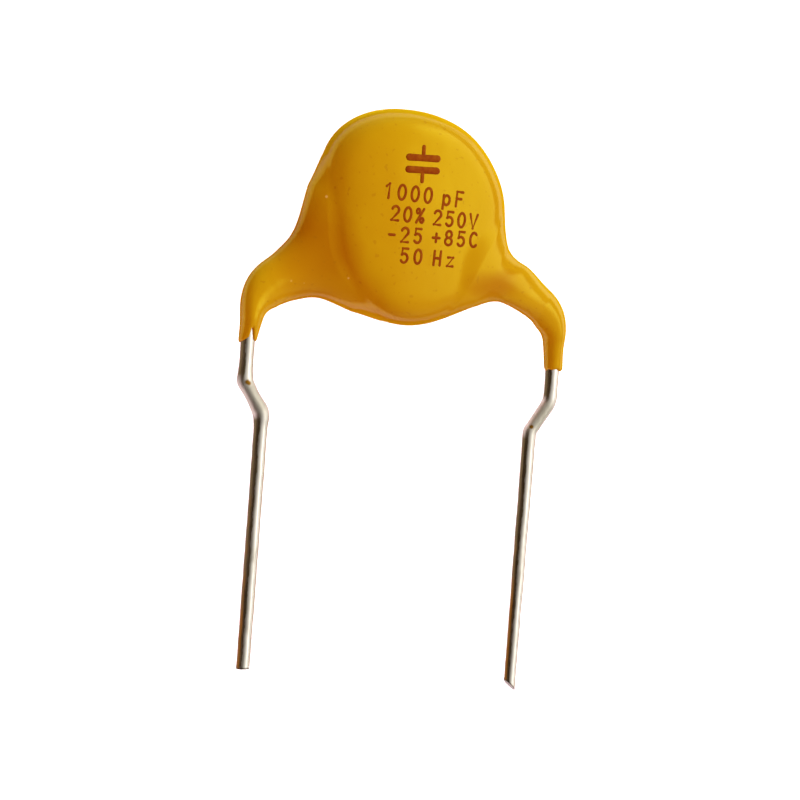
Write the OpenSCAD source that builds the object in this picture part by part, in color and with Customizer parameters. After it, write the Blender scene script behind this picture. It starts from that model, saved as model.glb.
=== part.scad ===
// Ceramic disc capacitor with two kinked radial leads and a dipped epoxy coat.
//
// It lies on the back of its coat. X runs across the leads, Y runs from the
// lead tips up to the top of the disc, Z is the thickness. All sizes are in
// millimetres. The origin is under the middle of its footprint.

/* [Ceramic disc] */
// Diameter of the ceramic disc
ceramic_d = 7.1; // [5.5:0.1:8]
// Thickness of the ceramic disc
ceramic_t = 1; // [0.8:0.1:2]
// Sideways place of the disc between the leads
disc_x = -0.37; // [-0.6:0.01:0.6]

/* [Silver electrodes] */
// Bare rim of ceramic outside each electrode
electrode_margin = 0.3; // [0.1:0.05:0.6]
// Thickness of each electrode
electrode_t = 0.05; // [0.02:0.01:0.1]

/* [Leads] */
// Diameter of the lead wire
wire_d = 0.6; // [0.5:0.05:0.8]
// Distance between the two leads below the kinks
lead_pitch = 12.5; // [12:0.1:13]
// Distance between the two leads above the kinks
shoulder_pitch = 14.24; // [13.6:0.02:15]
// Distance of each lead from the mid-plane of the disc, below the shoulders
lead_offset = 0.1; // [0:0.05:0.5]
// Distance from the middle of the gap to each soldered wire end
wire_start_x = 1.6; // [1:0.1:2]
// Where each wire lifts off its electrode
wire_leave_x = 3.4; // [3:0.1:3.8]
// Radius of the bend where a wire lifts off its electrode
leave_bend_r = 2; // [1:0.1:3]
// Height of the kinks above the lower straight parts
kink_h = 1.3; // [1:0.05:1.8]
// Radius of the sharp corner of each kink
kink_sharp_r = 0.42; // [0.4:0.02:0.6]
// Radius of the soft corner of each kink
kink_soft_r = 0.9; // [0.6:0.05:1.2]

/* [Front lead, on the right] */
// Slope of the wire across the front of the disc
front_slope = 27; // [20:1:35]
// Height of the shoulder's corner below the disc's centre
front_corner = 4.02; // [3.6:0.02:4.4]
// Radius of the shoulder bend
front_bend_r = 1.7; // [1.2:0.05:2]
// Depth of the coat's end below the disc's centre
front_coat_end = 6.35; // [6:0.05:6.6]
// Depth of the top of the kink below the disc's centre
front_kink = 7.66; // [7.2:0.02:8]
// Depth of the lead's tip below the disc's centre
front_tip = 20.05; // [17:0.05:24]
// Slant of the cut at the lead's tip
front_cut = 42; // [0:1:50]

/* [Back lead, on the left] */
// Slope of the wire across the back of the disc
back_slope = 25.4; // [20:0.2:35]
// Height of the shoulder's corner below the disc's centre
back_corner = 3.63; // [3.3:0.01:4]
// Radius of the shoulder bend
back_bend_r = 1.6; // [1.2:0.05:2]
// Depth of the coat's end below the disc's centre
back_coat_end = 5.75; // [5.5:0.05:6.2]
// Depth of the top of the kink below the disc's centre
back_kink = 7.27; // [6.8:0.01:7.6]
// Depth of the lead's tip below the disc's centre
back_tip = 19.2; // [17:0.05:24]
// Slant of the cut at the lead's tip
back_cut = 4; // [0:1:50]

/* [Solder] */
// Film of solder between a wire and its electrode
solder_film = 0.02; // [0.02:0.01:0.06]
// Length of each solder joint
solder_l = 2; // [1.6:0.1:2.2]
// Width of each solder joint on the electrode
solder_w = 1.3; // [1:0.05:1.5]
// Thickness of solder round the wire
solder_cover = 0.04; // [0.02:0.01:0.06]

/* [Epoxy coat] */
// Thickness of the coat over each electrode
coat_face = 0.85; // [0.8:0.05:1.1]
// Thickness of the coat round the rim of the ceramic disc
coat_rim = 0.6; // [0.5:0.05:0.9]
// Sideways place of the coat's middle from the ceramic's centre
coat_aside = 0.25; // [0.1:0.01:0.3]
// Extra coat that ran down to the lower edge
coat_sag = 0.5; // [0:0.05:0.8]
// Slant of the coat's outline, fuller at the upper left and the lower right
coat_lean = 0.05; // [0:0.01:0.2]
// Extra coat heaped at the upper left
coat_heap = 0.52; // [0:0.02:0.6]
// Direction of the heap round the disc
heap_turn = 137; // [120:1:150]
// Rounding of the coat's edge
coat_round = 1.15; // [0.8:0.05:1.2]
// Thickness of the coat over a wire, on the face and along the wings
coat_wire = 0.2; // [0.14:0.02:0.3]
// Reach of the smooth blend between the disc and each wing
coat_blend = 0.8; // [0.4:0.05:1]

/* [Hidden] */
$fn = 48;

ceramic_r = ceramic_d / 2;
electrode_r = ceramic_r - electrode_margin;
electrode_z = ceramic_t / 2;
solder_z = electrode_z + electrode_t;
wire_r = wire_d / 2;
wire_z = solder_z + solder_film + wire_r;
wire_sides = 16;
bend_step = 8;
plug_l = 0.3;
plug_ratio = 0.9;
stub_x = shoulder_pitch / 2;
lead_x = lead_pitch / 2;
coat_half = solder_z + coat_face;
coat_r = ceramic_r + coat_rim;
coat_x = disc_x + coat_aside;

// The blend fades over blend_depth inside the outline to a share of its reach,
// so that the flat faces stay flat
blend_depth = 1.4;
face_share = 0.08;

// Where the disc's centre stands over the origin
lift = coat_half;
top_angles = [75 : 3 : 120];
centre_y = (front_tip - max([for (a = top_angles) outline_r(cos(a), sin(a)) * sin(a)])) / 2;

// One lead and its wing of coat: side, slope, corner, bend radius, coat end,
// kink top, tip, kink radii, and half-widths of the wing above and below
// the wire at every wing_step back from the coat's end
wing_step = 1.2;
front = [1, front_slope, front_corner, front_bend_r, front_coat_end, front_kink, front_tip,
         kink_soft_r, kink_sharp_r,
         [0.43, 0.41, 0.64, 0.84, 0.99, 1.03], [0.38, 0.48, 0.79, 0.75, 0.85, 1.33]];
back = [-1, back_slope, back_corner, back_bend_r, back_coat_end, back_kink, back_tip,
        kink_sharp_r, kink_soft_r,
        [0.47, 0.38, 0.79, 1.04, 1.55, 2.07], [0.38, 0.63, 1.01, 1.11, 1.54, 2.08]];
function side(w) = w[0];
function slope(w) = w[1];
function corner(w) = w[2];
function bend(w) = w[3];
function coat_end(w) = w[4];
function kink(w) = w[5];
function tip(w) = w[6];

// ---------------------------------------------------------------- leads

function unit(v) = v / norm(v);
function mirrored(w, p) = [side(w) * p.x, p.y, p.z];

// Height of the run over the shoulder's corner at a distance x from the middle
function run_y(w, x) = (stub_x - x) * tan(slope(w)) - corner(w);

// Corners of a lead's centre line, from its soldered end to its tip
function lead_corners(w) = [
    for (p = [
        [wire_start_x, run_y(w, wire_start_x), side(w) * wire_z],
        [wire_leave_x, run_y(w, wire_leave_x), side(w) * wire_z],
        [stub_x, -corner(w), side(w) * lead_offset],
        [stub_x, -kink(w), side(w) * lead_offset],
        [lead_x, -kink(w) - kink_h, side(w) * lead_offset],
        [lead_x, -tip(w), side(w) * lead_offset],
    ]) mirrored(w, p)
];

// Length that a bend of radius r takes from each side of the corner b
function setback(a, b, c, r) =
    r * tan(acos(max(-1, min(1, unit(b - a) * unit(c - b)))) / 2);

// Stations round the bend at the corner b: [point, tangent] for each
function bend_stations(a, b, c, r) =
    let (
        u = unit(b - a),
        v = unit(c - b),
        n = unit(v - (v * u) * u),
        turn = acos(v * u),
        middle = b - u * setback(a, b, c, r) + n * r,
        steps = ceil(turn / bend_step)
    )
    [
        for (i = [0 : steps])
            let (phi = turn * i / steps)
            [middle + r * (u * sin(phi) - n * cos(phi)), u * cos(phi) + n * sin(phi)]
    ];

// Stations along a lead, from its soldered end to the foot of its kink
function lead_stations(w) =
    let (
        p = lead_corners(w),
        r = [leave_bend_r, bend(w), w[7], w[8]]
    )
    [
        [p[0], unit(p[1] - p[0])],
        for (i = [0 : len(r) - 1]) each bend_stations(p[i], p[i + 1], p[i + 2], r[i])
    ];

// Ring of points of radius r round a station
function wire_ring(s, r) =
    let (
        up = unit([0, 0, 1] - s[1].z * s[1]),
        out = cross(up, s[1])
    )
    [
        for (i = [0 : wire_sides - 1])
            s[0] + r * (out * cos(360 * i / wire_sides) + up * sin(360 * i / wire_sides))
    ];

// Closed skin over rings of n points each, in order from one end to the other
module skin_over(rings, n) {
    m = len(rings);
    sides = [
        for (i = [0 : m - 2])
            for (j = [0 : n - 1])
                let (
                    a = i * n + j,
                    b = i * n + (j + 1) % n
                )
                each [[a, b + n, b], [a, a + n, b + n]]
    ];
    first = [for (j = [0 : n - 1]) j];
    last = [for (j = [n - 1 : -1 : 0]) (m - 1) * n + j];
    polyhedron([for (r = rings) each r], concat([first], sides, [last]), convexity = 6);
}

// Round wire bent to shape. The bent part ends in a slightly thinner plug
// inside the straight part, which is a true cylinder.
module bent_wire(w) {
    stations = lead_stations(w);
    foot = stations[len(stations) - 1];
    plug = [for (d = [plug_l / 6, plug_l]) [foot[0] + d * foot[1], foot[1]]];
    skin_over([
        for (s = stations) wire_ring(s, wire_r),
        for (s = plug) wire_ring(s, wire_r * plug_ratio)
    ], wire_sides);
    translate(plug[0][0])
        rotate([90, 0, 0])
            cylinder(r = wire_r, h = plug[0][0].y + tip(w));
}

// Lead with its tip cut at a slant
module lead(w, cut) {
    difference() {
        bent_wire(w);
        translate([side(w) * (lead_x + wire_r), -tip(w), 0])
            rotate([0, 0, -cut])
                translate([-tip(w), -tip(w), -wire_d])
                    cube([2 * tip(w), tip(w), 2 * wire_d + lead_offset]);
    }
}

// -------------------------------------------------------- solder joints

// Fillet of solder over a wire's end, with the wire's own room still filled
module solder_fillet(w) {
    p = lead_corners(w);
    along = unit(p[1] - p[0]);
    a = p[0] - along * solder_cover;
    b = a + along * solder_l;
    intersection() {
        hull()
            for (c = [a, b]) {
                translate([c.x, c.y, side(w) * solder_z])
                    cylinder(d = solder_w, h = 2 * solder_film, center = true, $fn = 32);
                translate(c)
                    sphere(r = wire_r + solder_cover, $fn = 32);
            }
        translate([0, 0, side(w) * (solder_z + ceramic_t)])
            cube([ceramic_d, ceramic_d, 2 * ceramic_t], center = true);
    }
}

// Solder that holds a wire's end on its electrode
module solder(w) {
    difference() {
        solder_fillet(w);
        bent_wire(w);
    }
}

// ----------------------------------------------------------------- coat

// Blend of two distances that rounds the corner between them over a reach k
function blend(a, b, k) = min(a, b) - pow(max(k - abs(a - b), 0), 2) / (4 * k);

// Radius of the coat's outline in the direction (u, v) from its middle
function outline_r(u, v) =
    let (
        q = max(u * u + v * v, 1e-6),
        heaped = max(u * cos(heap_turn) + v * sin(heap_turn), 0)
    )
    coat_r + coat_sag * (v < 0 ? v * v / q : 0) - coat_lean * 2 * u * v / q
        + coat_heap * pow(heaped, 4) / (q * q);

// Distance from the coated disc, negative inside
function disc_field(p) =
    let (
        a = norm([p.x - coat_x, p.y]) - outline_r(p.x - coat_x, p.y) + coat_round,
        b = abs(p.z) - coat_half + coat_round
    )
    norm([max(a, 0), max(b, 0)]) + min(max(a, b), 0) - coat_round;

// Lengths of the stub above the coat's end, and of the shoulder's bend
function bend_setback(w) = bend(w) * tan((90 - slope(w)) / 2);
function stub_l(w) = coat_end(w) - corner(w) - bend_setback(w);
function arc_l(w) = bend(w) * (90 - slope(w)) * PI / 180;

// Along and across a wing: [distance back from the coat's end, offset from
// the wire, positive on the outer side]
function wing_place(w, x, y) =
    let (
        ox = stub_x - bend(w),
        oy = -corner(w) - bend_setback(w),
        turn = 90 - slope(w),
        ax = stub_x - bend_setback(w) * cos(slope(w)),
        ay = -corner(w) + bend_setback(w) * sin(slope(w)),
        along = (ax - x) * cos(slope(w)) + (y - ay) * sin(slope(w)),
        phi = atan2(y - oy, x - ox)
    )
    along > 0 && (x < ox || phi > turn)
        ? [stub_l(w) + arc_l(w) + along, (x - ax) * sin(slope(w)) + (y - ay) * cos(slope(w))]
        : y < oy
        ? [y + coat_end(w), x - stub_x]
        : [stub_l(w) + bend(w) * phi * PI / 180, norm([x - ox, y - oy]) - bend(w)];

// Height of the wire over the mid-plane at a distance t back from the coat's end
function wire_height(w, t) =
    let (
        bent = stub_l(w) + arc_l(w),
        run = (stub_x - wire_leave_x) / cos(slope(w)),
        rise = (wire_z - lead_offset) / run
    )
    side(w) * (t < stub_l(w) ? lead_offset
        : t < bent ? lead_offset + rise * bend_setback(w) * (t - stub_l(w)) / arc_l(w)
        : min(wire_z, lead_offset + rise * (bend_setback(w) + t - bent)));

// Half-width of a wing at t, on a smooth curve through its keys
function key_slope(keys, i) =
    let (
        a = max(i - 1, 0),
        b = min(i + 1, len(keys) - 1)
    )
    (keys[b] - keys[a]) / (b - a);
function wing_half(keys, t) =
    let (
        s = max(0, min(t / wing_step, len(keys) - 1.001)),
        i = floor(s),
        f = s - i
    )
    (keys[i] * (1 + 2 * f) + key_slope(keys, i) * f) * (1 - f) * (1 - f)
        + (keys[i + 1] * (3 - 2 * f) + key_slope(keys, i + 1) * (f - 1)) * f * f;

// Half-thickness of a wing: the wire and its coat, thinner at the coat's end
function wing_thick(t) = wire_r + coat_wire * min(1, 0.5 + t / (2 * wing_step));

// Where the wing of coat starts to fade out on the face of the disc, and how fast
fade_t = 7;
fade_slope = 0.7;

// Distance from one wing of coat, negative inside
function wing_field(w, p) =
    let (
        td = wing_place(w, side(w) * p.x, p.y),
        t = td[0],
        d = td[1],
        across = wing_half(d > 0 ? w[9] : w[10], t),
        thick = wing_thick(t),
        q = norm([d / across, (p.z - wire_height(w, t)) / thick])
    )
    (q - 1) * min(across, thick) + max(0, t - fade_t) * fade_slope;

// Reach of the blend at the point p
function blend_reach(p) =
    let (inside = outline_r(p.x - coat_x, p.y) - norm([p.x - coat_x, p.y]))
    coat_blend * max(face_share, min(1, 1 - inside / blend_depth));

// Distance from the whole coat, negative inside. Nothing stands proud of its
// flat faces.
function coat_field(p) =
    let (w = p.x > coat_x ? front : back)
    max(blend(disc_field(p), wing_field(w, p), blend_reach(p)), abs(p.z) - coat_half);

// How far the coat reaches from the point p in the direction d: steps by the
// distance itself, then by secants of limited length
reach_steps = 9;
secant_steps = 4;
secant_limit = 3;
function reach(p, d, s, n) = n == 0 ? s : reach(p, d, s - coat_field(p + s * d), n - 1);
function secant(p, d, a, fa, b, fb, n) =
    n == 0 || abs(fb - fa) < 1e-7 ? b
    : let (
        step = fb * (b - a) / (fb - fa),
        most = secant_limit * abs(fb),
        c = b - max(-most, min(most, step))
    )
    secant(p, d, b, fb, c, coat_field(p + c * d), n - 1);
function skin_point(p, d) =
    let (
        a = reach(p, d, 0, reach_steps),
        fa = coat_field(p + a * d),
        b = a - fa
    )
    p + d * secant(p, d, a, fa, b, coat_field(p + b * d), secant_steps);

// Ribs start on a spine that runs up each wing, in through the rim of the disc
// and on to its middle. A spine point is [point, direction of its upper rib, of
// its lower rib]. Where the section crosses the disc's edge it also has [how
// closely it follows the front edge, and the back edge], how far up the edge it
// runs, and whether it then crosses the face or goes round the edge.
stub_ribs = 3;
arc_ribs = 7;
run_ribs = 9;
root_ribs = 13;
disc_ribs = 12;
rib_steps = 18;
edge_steps = 5;
edge_tries = 8;
// How much the ribs crowd towards the rim on a wing's run and in its root
run_crowding = 1.5;
root_crowding = 1.3;
// Depth of the root of a wing inside the rim, and the angles round the disc at
// which the root's last upper and lower ribs end
root_l = 1.3;
root_up = -4;
root_low = -52;
// Ribs over which the sections ease onto the disc's edge
root_ease = 5;

function reversed(v) = [for (i = [len(v) - 1 : -1 : 0]) v[i]];
function outward(w) = [cos(slope(w)), -sin(slope(w))];
function disc_middle(w) = [side(w) * coat_x, 0];

// Distance back from the coat's end at which the wire comes to the disc's rim
function rim_t(w) =
    let (
        d = [stub_x, -corner(w)] - disc_middle(w),
        across = d * [sin(slope(w)), cos(slope(w))],
        out = sqrt(pow(coat_r + coat_lean + coat_sag / 2, 2) - across * across)
    )
    stub_l(w) + arc_l(w) - bend_setback(w) + d * outward(w) - out;

// Point of the wire's centre line at t, seen as if on the right
function wire_point(w, t) =
    let (
        phi = max(0, min((t - stub_l(w)) / bend(w) * 180 / PI, 90 - slope(w))),
        straight_t = max(0, t - stub_l(w) - arc_l(w))
    )
    [stub_x - bend(w) * (1 - cos(phi)), -corner(w) - bend_setback(w) + bend(w) * sin(phi)]
        + [0, min(0, t - stub_l(w))] - straight_t * outward(w);

function wing_steps(w) = [
    for (i = [0 : stub_ribs - 1]) stub_l(w) * i / stub_ribs,
    for (i = [0 : arc_ribs - 1]) stub_l(w) + arc_l(w) * i / arc_ribs,
    for (i = [0 : run_ribs - 1])
        let (a = stub_l(w) + arc_l(w)) a + (rim_t(w) - a) * (1 - pow(1 - i / run_ribs, run_crowding))
];

function wing_spine(w) = [
    for (t = wing_steps(w))
        let (
            c = wire_point(w, t),
            phi = max(0, min((t - stub_l(w)) / bend(w) * 180 / PI, 90 - slope(w)))
        )
        [[c.x, c.y, wire_height(w, t)], phi, phi - 180]
];

// Direction from c to the outline of the disc at the angle a
function to_outline(w, c, a) =
    let (d = disc_middle(w) + outline_r(cos(a), sin(a)) * [cos(a), sin(a)] - c)
    atan2(d.y, d.x);

// Spine from the rim inwards: its ribs turn from square to the wire to the
// disc's edge, and on the clear side its sections climb round that edge
function root_spine(w) = [
    for (i = [0 : root_ribs - 1])
        let (
            f = pow(i / root_ribs, root_crowding),
            c = wire_point(w, rim_t(w) + root_l * f),
            z = wire_height(w, rim_t(w)) * (1 - f / 2),
            up = 90 - slope(w),
            low = up - 180,
            foot = asin((wing_thick(rim_t(w)) - wire_z) / coat_half)
        )
        [[c.x, c.y, z], up + (to_outline(w, c, root_up) - up) * f,
         low + (to_outline(w, c, root_low) - low) * f,
         sides(w, 0, min(1, i / root_ease)), foot + (90 - foot) * i / (root_ribs - 1), false]
];

// Spine inside the disc: its ribs fan out to the top and the bottom
function disc_spine(w) = [
    for (i = [0 : disc_ribs - 1])
        let (
            f = i / disc_ribs,
            root = wire_point(w, rim_t(w) + root_l),
            c = root + (disc_middle(w) - root) * f
        )
        [[c.x, c.y, wire_height(w, rim_t(w)) * pow(1 - f, 2) / 2],
         to_outline(w, c, root_up + (90 - root_up) * f),
         to_outline(w, c, root_low - (90 + root_low) * f),
         sides(w, min(1, i / root_ease), 1), 90, true]
];

// Values for the front and the back, from those for the wing's own side and the
// clear side
function sides(w, near, far) = side(w) > 0 ? [near, far] : [far, near];

function half_spine(w) = [
    for (s = concat(wing_spine(w), root_spine(w), disc_spine(w)))
        side(w) > 0 ? s : [mirrored(w, s[0]), 180 - s[1], 180 - s[2], s[3], s[4], s[5]]
];

// Distance from c in the direction d to where the disc's rounded edge begins
function edge_reach(c, d, s, n) =
    let (q = c + s * d - [coat_x, 0])
    n <= 0 ? s : edge_reach(c, d, s + outline_r(q.x, q.y) - coat_round - norm(q), n - 1);

// Angle of point i of a rib, from 90 on the front skin to -90 on the back skin.
// The edge_steps on each side of the rib's end lie on the rounded edge.
function rib_angle(c, out_d, i) =
    let (
        half = rib_steps / 2,
        j = abs(half - i),
        l = norm(out_d),
        flat = edge_reach([c.x, c.y], [out_d.x, out_d.y] / l, 0, edge_tries),
        edge = atan(l / max(flat, l / 3))
    )
    sign(half - i) * (j < edge_steps ? edge * j / edge_steps
        : edge + (90 - edge) * (j - edge_steps) / (half - edge_steps));

// Point on the disc's edge at the angle a round the disc and the height h
function edge_point(a, h) =
    let (
        over = max(0, abs(h) - coat_half + coat_round),
        r = outline_r(cos(a), sin(a)) - coat_round + sqrt(coat_round * coat_round - over * over)
    )
    [coat_x + r * cos(a), r * sin(a), h];

// Way from a spine point to point m of a rib on the side z, counted from the
// rib's end: up the edge there, then round it, or straight over the face
function edge_way(s, end, z, m) =
    let (
        c = s[0],
        half = rib_steps / 2,
        from = asin(z * c.z / coat_half),
        climb = max(1, round(edge_steps * (s[4] - from) / (90 - from))),
        height = z * coat_half * sin(from + (s[4] - from) * min(1, m / climb)),
        a = atan2(c.y, c.x - coat_x),
        b = atan2(end.y, end.x - coat_x),
        turn = atan2(sin(b - a), cos(b - a)),
        along = max(0, m - climb) / (half - climb)
    )
    unit((s[5] ? edge_point(b, height) * (1 - along) + [c.x, c.y, z * coat_half] * along
        : edge_point(b - turn * along, height)) - c);

// A way p, drawn to the edge as closely as the spine point asks on the side z
function drawn(s, end, z, m, p) =
    let (share = s[3] == undef || z == 0 ? 0 : s[3][z > 0 ? 0 : 1])
    share > 0 ? unit(edge_way(s, end, z, m) * share + p * (1 - share)) : p;

// Points of one section: down its upper rib from front to back, and up its
// lower rib
function section(s) =
    let (
        c = s[0],
        front_d = skin_point(c, drawn(s, c, 1, rib_steps / 2, [0, 0, 1])) - c,
        back_d = skin_point(c, drawn(s, c, -1, rib_steps / 2, [0, 0, -1])) - c,
        up_d = skin_point(c, [cos(s[1]), sin(s[1]), 0]) - c,
        low_d = skin_point(c, [cos(s[2]), sin(s[2]), 0]) - c
    )
    [
        c + front_d,
        for (i = [1 : rib_steps - 1]) rib_point(s, up_d, front_d, back_d, i),
        c + back_d,
        for (i = [rib_steps - 1 : -1 : 1]) rib_point(s, low_d, front_d, back_d, i)
    ];
function rib_point(s, out_d, front_d, back_d, i) =
    let (
        c = s[0],
        z = sign(rib_steps / 2 - i),
        v = rib_angle(c, out_d, i),
        plain = unit(out_d * cos(v) + (z > 0 ? front_d : back_d) * abs(sin(v)))
    )
    skin_point(c, drawn(s, c + out_d, z, abs(rib_steps / 2 - i), plain));

// Outer form of the coat, a skin over the sections of both halves
module coat_form() {
    middle = [[coat_x, 0, 0], 90, -90, [1, 1], 90, true];
    spine = concat(half_spine(front), [middle], reversed(half_spine(back)));
    skin_over([for (s = spine) section(s)], 2 * rib_steps);
}

// ---------------------------------------------------------------- nodes

// Moves a piece from the disc's centre to its place over the origin
module placed() {
    translate([0, centre_y, lift])
        children();
}

module ceramic_disc() {
    color("tan")
        placed()
            translate([disc_x, 0, -ceramic_t / 2])
                cylinder(r = ceramic_r, h = ceramic_t);
}

module electrode(from) {
    translate([disc_x, 0, from])
        cylinder(r = electrode_r, h = electrode_t);
}

module front_electrode() {
    color("silver")
        placed()
            electrode(electrode_z);
}

module back_electrode() {
    color("silver")
        placed()
            electrode(-electrode_z - electrode_t);
}

module front_solder_joint() {
    color("lightgray")
        placed()
            solder(front);
}

module back_solder_joint() {
    color("lightgray")
        placed()
            solder(back);
}

module front_lead() {
    color("gainsboro")
        placed()
            lead(front, front_cut);
}

module back_lead() {
    color("gainsboro")
        placed()
            lead(back, back_cut);
}

module epoxy_coat() {
    color("goldenrod")
        difference() {
            placed()
                coat_form();
            ceramic_disc();
            front_electrode();
            back_electrode();
            placed() {
                solder_fillet(front);
                solder_fillet(back);
            }
            front_lead();
            back_lead();
        }
}

epoxy_coat();
ceramic_disc();
front_electrode();
back_electrode();
front_solder_joint();
back_solder_joint();
front_lead();
back_lead();
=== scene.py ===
"""Finished look of a small dipped ceramic disc capacitor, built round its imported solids.

Sizes of the coat and the leads are in millimetres about the disc's centre, with X
across the leads, Y up the disc and Z through its thickness. Meshes are in metres.
"""
import math

import bpy
import numpy as np
from mathutils import Matrix, Vector


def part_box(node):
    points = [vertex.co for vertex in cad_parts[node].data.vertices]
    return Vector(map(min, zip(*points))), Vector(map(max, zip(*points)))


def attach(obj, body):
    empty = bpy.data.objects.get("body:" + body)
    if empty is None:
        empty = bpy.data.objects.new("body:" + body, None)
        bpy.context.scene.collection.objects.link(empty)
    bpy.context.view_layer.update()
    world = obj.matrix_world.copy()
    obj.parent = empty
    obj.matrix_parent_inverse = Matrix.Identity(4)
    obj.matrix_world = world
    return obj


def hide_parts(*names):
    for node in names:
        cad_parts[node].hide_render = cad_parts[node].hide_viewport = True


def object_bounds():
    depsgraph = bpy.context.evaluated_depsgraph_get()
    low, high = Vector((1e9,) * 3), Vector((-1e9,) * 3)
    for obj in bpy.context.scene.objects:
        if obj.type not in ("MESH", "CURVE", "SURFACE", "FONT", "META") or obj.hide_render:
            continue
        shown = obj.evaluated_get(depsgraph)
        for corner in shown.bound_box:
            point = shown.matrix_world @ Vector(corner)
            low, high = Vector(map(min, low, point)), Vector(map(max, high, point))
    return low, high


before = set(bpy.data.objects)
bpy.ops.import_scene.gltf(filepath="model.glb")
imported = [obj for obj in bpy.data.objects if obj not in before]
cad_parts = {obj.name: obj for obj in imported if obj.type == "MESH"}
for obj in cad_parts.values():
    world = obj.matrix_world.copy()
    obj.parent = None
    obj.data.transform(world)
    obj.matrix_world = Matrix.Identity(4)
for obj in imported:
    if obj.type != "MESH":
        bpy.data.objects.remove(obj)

bl_info = {
    "name": "Ceramic Disc Capacitor",
    "version": (1, 0, 0),
    "blender": (4, 5, 0),
    "location": "3D View > Sidebar > Capacitor",
    "description": "Builds the coat, leads, print and studio of a disc capacitor",
    "category": "Add Mesh",
}

MM = 0.001
TINY = 1e-6
BODY = "root"

# Place of the disc's centre over the origin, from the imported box
CAD_LOW, CAD_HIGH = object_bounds()
DISC_LOW, DISC_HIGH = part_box("ceramic_disc")
CENTRE = Vector((0.0, (DISC_LOW.y + DISC_HIGH.y) / 2, (DISC_LOW.z + DISC_HIGH.z) / 2))


# ------------------------------------------------------------------ settings


class CoatSettings(bpy.types.PropertyGroup):
    """Form and finish of the epoxy coat."""

    mesh_step: bpy.props.FloatProperty(
        name="Mesh Step", description="Size of the coat's mesh faces",
        default=0.066 * MM, min=0.04 * MM, max=0.3 * MM, unit="LENGTH", precision=6)
    edge_round: bpy.props.FloatProperty(
        name="Edge Rounding", description="Rounding of the coat's front and back edges",
        default=1.15 * MM, min=0.5 * MM, max=1.3 * MM, unit="LENGTH", precision=6)
    fillet: bpy.props.FloatProperty(
        name="Fillet", description="Reach of the blend between disc and wings",
        default=0.8 * MM, min=0.3 * MM, max=1.2 * MM, unit="LENGTH", precision=6)
    ochre: bpy.props.FloatVectorProperty(
        name="Ochre", description="Main colour of the epoxy",
        default=(0.305, 0.18, 0.0012), size=3, min=0, max=1, subtype="COLOR")
    # This colour is also used for the painted shade, darker and more orange, at the leads' roots
    amber_and_shade: bpy.props.FloatVectorProperty(
        name="Amber", description="Colour of the epoxy where it ran thin or gathered",
        default=(0.24, 0.092, 0.0005), size=3, min=0, max=1, subtype="COLOR")


class LeadSettings(bpy.types.PropertyGroup):
    """Form and finish of the tinned leads."""

    wire_d: bpy.props.FloatProperty(
        name="Wire Diameter", description="Diameter of the lead wire",
        default=0.6 * MM, min=0.4 * MM, max=0.8 * MM, unit="LENGTH", precision=6)
    lump: bpy.props.FloatProperty(
        name="Lump Height", description="Height of the lumps in the tin",
        default=0.03 * MM, min=0, max=0.08 * MM, unit="LENGTH", precision=6)
    tin: bpy.props.FloatVectorProperty(
        name="Tin", description="Colour of the tinned wire",
        default=(0.66, 0.61, 0.56), size=3, min=0, max=1, subtype="COLOR")
    # Also the colour of the painted dark reflection on the wire's left side
    tarnish_and_reflection: bpy.props.FloatVectorProperty(
        name="Tarnish", description="Colour of the dulled tin",
        default=(0.08, 0.062, 0.027), size=3, min=0, max=1, subtype="COLOR")


class PrintSettings(bpy.types.PropertyGroup):
    """Size and colour of the print on the front."""

    stroke: bpy.props.FloatProperty(
        name="Stroke Width", description="Width of one printed stroke",
        default=0.12 * MM, min=0.03 * MM, max=0.3 * MM, unit="LENGTH", precision=6)
    thickness: bpy.props.FloatProperty(
        name="Ink Thickness", description="How far the ink stands on the coat",
        default=0.012 * MM, min=0.001 * MM, max=0.05 * MM, unit="LENGTH", precision=6)
    ink: bpy.props.FloatVectorProperty(
        name="Ink", description="Colour of the ink",
        default=(0.13, 0.02, 0.001), size=3, min=0, max=1, subtype="COLOR")


class StageSettings(bpy.types.PropertyGroup):
    """Floor, lights and camera."""

    azimuth: bpy.props.FloatProperty(
        name="Azimuth", description="Angle of the camera to the object's left",
        default=math.radians(27.246), subtype="ANGLE")
    elevation: bpy.props.FloatProperty(
        name="Elevation", description="Angle of the camera towards the top of the disc",
        default=math.radians(4.519), subtype="ANGLE")
    roll: bpy.props.FloatProperty(
        name="Roll", description="Turn of the object in the picture",
        default=math.radians(4.399), subtype="ANGLE")
    distance: bpy.props.FloatProperty(
        name="Distance", description="Distance of the camera from the disc",
        default=170 * MM, unit="LENGTH")
    frame_width: bpy.props.FloatProperty(
        name="Frame Width", description="Width of the view at the disc",
        default=33.29 * MM, unit="LENGTH")
    wash_power: bpy.props.FloatProperty(
        name="Wash Power", description="Power of the soft light from the right",
        default=0.8, min=0, unit="POWER")
    fill_power: bpy.props.FloatProperty(
        name="Fill Power", description="Power of the warm light from the left",
        default=0.62, min=0, unit="POWER")


# ------------------------------------------------------- the coat as a distance


def blend(a, b, reach):
    """Blend of two distances that rounds the corner between them."""
    near = np.maximum(reach - np.abs(a - b), 0)
    return np.minimum(a, b) - near * near / (4 * reach)


def smooth_keys(keys, place):
    """Value at a place along evenly spaced keys, on a smooth curve through them."""
    keys = np.asarray(keys, float)
    slopes = np.gradient(keys)
    place = np.clip(place, 0, len(keys) - 1.001)
    i = np.floor(place).astype(int)
    f = place - i
    a, b = keys[i], keys[i + 1]
    c, d = slopes[i], slopes[i + 1]
    return (a * (1 + 2 * f) + c * f) * (1 - f) ** 2 + (b * (3 - 2 * f) + d * (f - 1)) * f * f


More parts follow.
